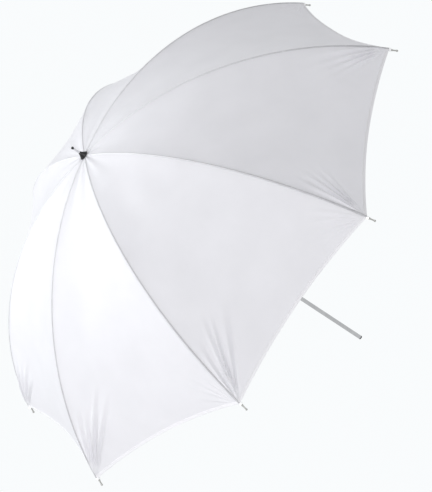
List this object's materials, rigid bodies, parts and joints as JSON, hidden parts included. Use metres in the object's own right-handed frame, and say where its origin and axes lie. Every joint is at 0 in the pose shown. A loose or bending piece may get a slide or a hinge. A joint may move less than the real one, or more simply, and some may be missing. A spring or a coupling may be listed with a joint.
{
  "type": "shoot-through studio umbrella",
  "caption": "White translucent studio umbrella that folds: fabric gores on sprung steel ribs, stretchers, a sliding runner with a spring catch, and a straight tube shaft.",
  "frame": {"origin": "centre of the shaft's butt face, the end that goes into the umbrella holder", "axes": "+Z along the shaft towards the canopy's crown; +X towards rib 1"},
  "size_m": [1.1042, 1.1042, 0.7846],
  "materials": {
    "white_nylon": "thin translucent white nylon taffeta",
    "rib_steel": "plated spring steel",
    "bright_steel": "bright plated steel",
    "wire_steel": "drawn wire",
    "black_plastic": "moulded, satin",
    "gloss_black": "moulded, glossy",
    "black_rubber": "soft plug"
  },
  "bodies": {
    "root": {"shaft_tube": "bright_steel", "butt_plug": "black_rubber", "top_notch": "black_plastic", "notch_ring": "wire_steel", "notch_pin": "rib_steel", "stop_pin": "rib_steel", "ferrule": "gloss_black", "tip_rod": "bright_steel", "tip_ball": "gloss_black"},
    "runner": {"runner": "black_plastic", "runner_ring": "wire_steel"},
    "catch": {"catch_spring": "rib_steel"},
    "rib_1": {"rib_inner_1": "rib_steel", "joint_clip_1": "rib_steel", "canopy_gore_1": "white_nylon"},
    "rib_end_1": {"rib_outer_1": "rib_steel", "rib_tip_1": "bright_steel"},
    "stretcher_1": {"stretcher_1": "rib_steel"},
    "rib_2": {"rib_inner_2": "rib_steel", "joint_clip_2": "rib_steel", "canopy_gore_2": "white_nylon"},
    "rib_end_2": {"rib_outer_2": "rib_steel", "rib_tip_2": "bright_steel"},
    "stretcher_2": {"stretcher_2": "rib_steel"},
    "rib_3": {"rib_inner_3": "rib_steel", "joint_clip_3": "rib_steel", "canopy_gore_3": "white_nylon"},
    "rib_end_3": {"rib_outer_3": "rib_steel", "rib_tip_3": "bright_steel"},
    "stretcher_3": {"stretcher_3": "rib_steel"},
    "rib_4": {"rib_inner_4": "rib_steel", "joint_clip_4": "rib_steel", "canopy_gore_4": "white_nylon"},
    "rib_end_4": {"rib_outer_4": "rib_steel", "rib_tip_4": "bright_steel"},
    "stretcher_4": {"stretcher_4": "rib_steel"},
    "rib_5": {"rib_inner_5": "rib_steel", "joint_clip_5": "rib_steel", "canopy_gore_5": "white_nylon"},
    "rib_end_5": {"rib_outer_5": "rib_steel", "rib_tip_5": "bright_steel"},
    "stretcher_5": {"stretcher_5": "rib_steel"},
    "rib_6": {"rib_inner_6": "rib_steel", "joint_clip_6": "rib_steel", "canopy_gore_6": "white_nylon"},
    "rib_end_6": {"rib_outer_6": "rib_steel", "rib_tip_6": "bright_steel"},
    "stretcher_6": {"stretcher_6": "rib_steel"},
    "rib_7": {"rib_inner_7": "rib_steel", "joint_clip_7": "rib_steel", "canopy_gore_7": "white_nylon"},
    "rib_end_7": {"rib_outer_7": "rib_steel", "rib_tip_7": "bright_steel"},
    "stretcher_7": {"stretcher_7": "rib_steel"},
    "rib_8": {"rib_inner_8": "rib_steel", "joint_clip_8": "rib_steel", "canopy_gore_8": "white_nylon"},
    "rib_end_8": {"rib_outer_8": "rib_steel", "rib_tip_8": "bright_steel"},
    "stretcher_8": {"stretcher_8": "rib_steel"}
  },
  "joints": [
    {"name": "canopy_fold", "type": "hinge", "parent": "root", "child": "rib_1", "pos_m": [0.012, 0, 0.74543], "axis": [0, 1, 0], "range_deg": [0, 72.5], "deforming": ["canopy_gore_1", "canopy_gore_2", "canopy_gore_3", "canopy_gore_4", "canopy_gore_5", "canopy_gore_6", "canopy_gore_7", "canopy_gore_8"]},
    {"name": "rib_1_flex", "type": "hinge", "parent": "rib_1", "child": "rib_end_1", "pos_m": [0.29966, 0, 0.67661], "axis": [0, 1, 0], "range_deg": [-27, 0]},
    {"name": "stretcher_1_pivot", "type": "hinge", "parent": "rib_1", "child": "stretcher_1", "pos_m": [0.28614, 0, 0.67636], "axis": [0, 1, 0], "range_deg": [-146, 0]},
    {"name": "rib_2_hinge", "type": "hinge", "parent": "root", "child": "rib_2", "pos_m": [0.00848, 0.00848, 0.74543], "axis": [-0.7071, 0.7071, 0], "range_deg": [0, 72.5]},
    {"name": "rib_2_flex", "type": "hinge", "parent": "rib_2", "child": "rib_end_2", "pos_m": [0.21189, 0.21189, 0.67661], "axis": [-0.7071, 0.7071, 0], "range_deg": [-27, 0]},
    {"name": "stretcher_2_pivot", "type": "hinge", "parent": "rib_2", "child": "stretcher_2", "pos_m": [0.20233, 0.20233, 0.67636], "axis": [-0.7071, 0.7071, 0], "range_deg": [-146, 0]},
    {"name": "rib_3_hinge", "type": "hinge", "parent": "root", "child": "rib_3", "pos_m": [0, 0.012, 0.74543], "axis": [-1, 0, 0], "range_deg": [0, 72.5]},
    {"name": "rib_3_flex", "type": "hinge", "parent": "rib_3", "child": "rib_end_3", "pos_m": [0, 0.29966, 0.67661], "axis": [-1, 0, 0], "range_deg": [-27, 0]},
    {"name": "stretcher_3_pivot", "type": "hinge", "parent": "rib_3", "child": "stretcher_3", "pos_m": [0, 0.28614, 0.67636], "axis": [-1, 0, 0], "range_deg": [-146, 0]},
    {"name": "rib_4_hinge", "type": "hinge", "parent": "root", "child": "rib_4", "pos_m": [-0.00848, 0.00848, 0.74543], "axis": [-0.7071, -0.7071, 0], "range_deg": [0, 72.5]},
    {"name": "rib_4_flex", "type": "hinge", "parent": "rib_4", "child": "rib_end_4", "pos_m": [-0.21189, 0.21189, 0.67661], "axis": [-0.7071, -0.7071, 0], "range_deg": [-27, 0]},
    {"name": "stretcher_4_pivot", "type": "hinge", "parent": "rib_4", "child": "stretcher_4", "pos_m": [-0.20233, 0.20233, 0.67636], "axis": [-0.7071, -0.7071, 0], "range_deg": [-146, 0]},
    {"name": "rib_5_hinge", "type": "hinge", "parent": "root", "child": "rib_5", "pos_m": [-0.012, 0, 0.74543], "axis": [0, -1, 0], "range_deg": [0, 72.5]},
    {"name": "rib_5_flex", "type": "hinge", "parent": "rib_5", "child": "rib_end_5", "pos_m": [-0.29966, 0, 0.67661], "axis": [0, -1, 0], "range_deg": [-27, 0]},
    {"name": "stretcher_5_pivot", "type": "hinge", "parent": "rib_5", "child": "stretcher_5", "pos_m": [-0.28614, 0, 0.67636], "axis": [0, -1, 0], "range_deg": [-146, 0]},
    {"name": "rib_6_hinge", "type": "hinge", "parent": "root", "child": "rib_6", "pos_m": [-0.00848, -0.00848, 0.74543], "axis": [0.7071, -0.7071, 0], "range_deg": [0, 72.5]},
    {"name": "rib_6_flex", "type": "hinge", "parent": "rib_6", "child": "rib_end_6", "pos_m": [-0.21189, -0.21189, 0.67661], "axis": [0.7071, -0.7071, 0], "range_deg": [-27, 0]},
    {"name": "stretcher_6_pivot", "type": "hinge", "parent": "rib_6", "child": "stretcher_6", "pos_m": [-0.20233, -0.20233, 0.67636], "axis": [0.7071, -0.7071, 0], "range_deg": [-146, 0]},
    {"name": "rib_7_hinge", "type": "hinge", "parent": "root", "child": "rib_7", "pos_m": [0, -0.012, 0.74543], "axis": [1, 0, 0], "range_deg": [0, 72.5]},
    {"name": "rib_7_flex", "type": "hinge", "parent": "rib_7", "child": "rib_end_7", "pos_m": [0, -0.29966, 0.67661], "axis": [1, 0, 0], "range_deg": [-27, 0]},
    {"name": "stretcher_7_pivot", "type": "hinge", "parent": "rib_7", "child": "stretcher_7", "pos_m": [0, -0.28614, 0.67636], "axis": [1, 0, 0], "range_deg": [-146, 0]},
    {"name": "rib_8_hinge", "type": "hinge", "parent": "root", "child": "rib_8", "pos_m": [0.00848, -0.00848, 0.74543], "axis": [0.7071, 0.7071, 0], "range_deg": [0, 72.5]},
    {"name": "rib_8_flex", "type": "hinge", "parent": "rib_8", "child": "rib_end_8", "pos_m": [0.21189, -0.21189, 0.67661], "axis": [0.7071, 0.7071, 0], "range_deg": [-27, 0]},
    {"name": "stretcher_8_pivot", "type": "hinge", "parent": "rib_8", "child": "stretcher_8", "pos_m": [0.20233, -0.20233, 0.67636], "axis": [0.7071, 0.7071, 0], "range_deg": [-146, 0]},
    {"name": "runner_pivot", "type": "hinge", "parent": "stretcher_1", "child": "runner", "pos_m": [0.012, 0, 0.60729], "axis": [0, 1, 0], "range_deg": [0, 72.5]},
    {"name": "catch_press", "type": "slide", "parent": "root", "child": "catch", "axis": [-0.9239, -0.3827, 0], "range_m": [0, 0.0022], "stiffness_N_per_m": 800, "springref_m": -0.002}
  ],
  "couplings": [
    {"joint": "rib_1_flex", "follows": "canopy_fold", "ratio": -0.36},
    {"joint": "stretcher_1_pivot", "follows": "canopy_fold", "ratio": -2},
    {"joint": "rib_2_hinge", "follows": "canopy_fold", "ratio": 1},
    {"joint": "rib_2_flex", "follows": "canopy_fold", "ratio": -0.36},
    {"joint": "stretcher_2_pivot", "follows": "canopy_fold", "ratio": -2},
    {"joint": "rib_3_hinge", "follows": "canopy_fold", "ratio": 1},
    {"joint": "rib_3_flex", "follows": "canopy_fold", "ratio": -0.36},
    {"joint": "stretcher_3_pivot", "follows": "canopy_fold", "ratio": -2},
    {"joint": "rib_4_hinge", "follows": "canopy_fold", "ratio": 1},
    {"joint": "rib_4_flex", "follows": "canopy_fold", "ratio": -0.36},
    {"joint": "stretcher_4_pivot", "follows": "canopy_fold", "ratio": -2},
    {"joint": "rib_5_hinge", "follows": "canopy_fold", "ratio": 1},
    {"joint": "rib_5_flex", "follows": "canopy_fold", "ratio": -0.36},
    {"joint": "stretcher_5_pivot", "follows": "canopy_fold", "ratio": -2},
    {"joint": "rib_6_hinge", "follows": "canopy_fold", "ratio": 1},
    {"joint": "rib_6_flex", "follows": "canopy_fold", "ratio": -0.36},
    {"joint": "stretcher_6_pivot", "follows": "canopy_fold", "ratio": -2},
    {"joint": "rib_7_hinge", "follows": "canopy_fold", "ratio": 1},
    {"joint": "rib_7_flex", "follows": "canopy_fold", "ratio": -0.36},
    {"joint": "stretcher_7_pivot", "follows": "canopy_fold", "ratio": -2},
    {"joint": "rib_8_hinge", "follows": "canopy_fold", "ratio": 1},
    {"joint": "rib_8_flex", "follows": "canopy_fold", "ratio": -0.36},
    {"joint": "stretcher_8_pivot", "follows": "canopy_fold", "ratio": -2},
    {"joint": "runner_pivot", "follows": "canopy_fold", "ratio": 1}
  ]
}
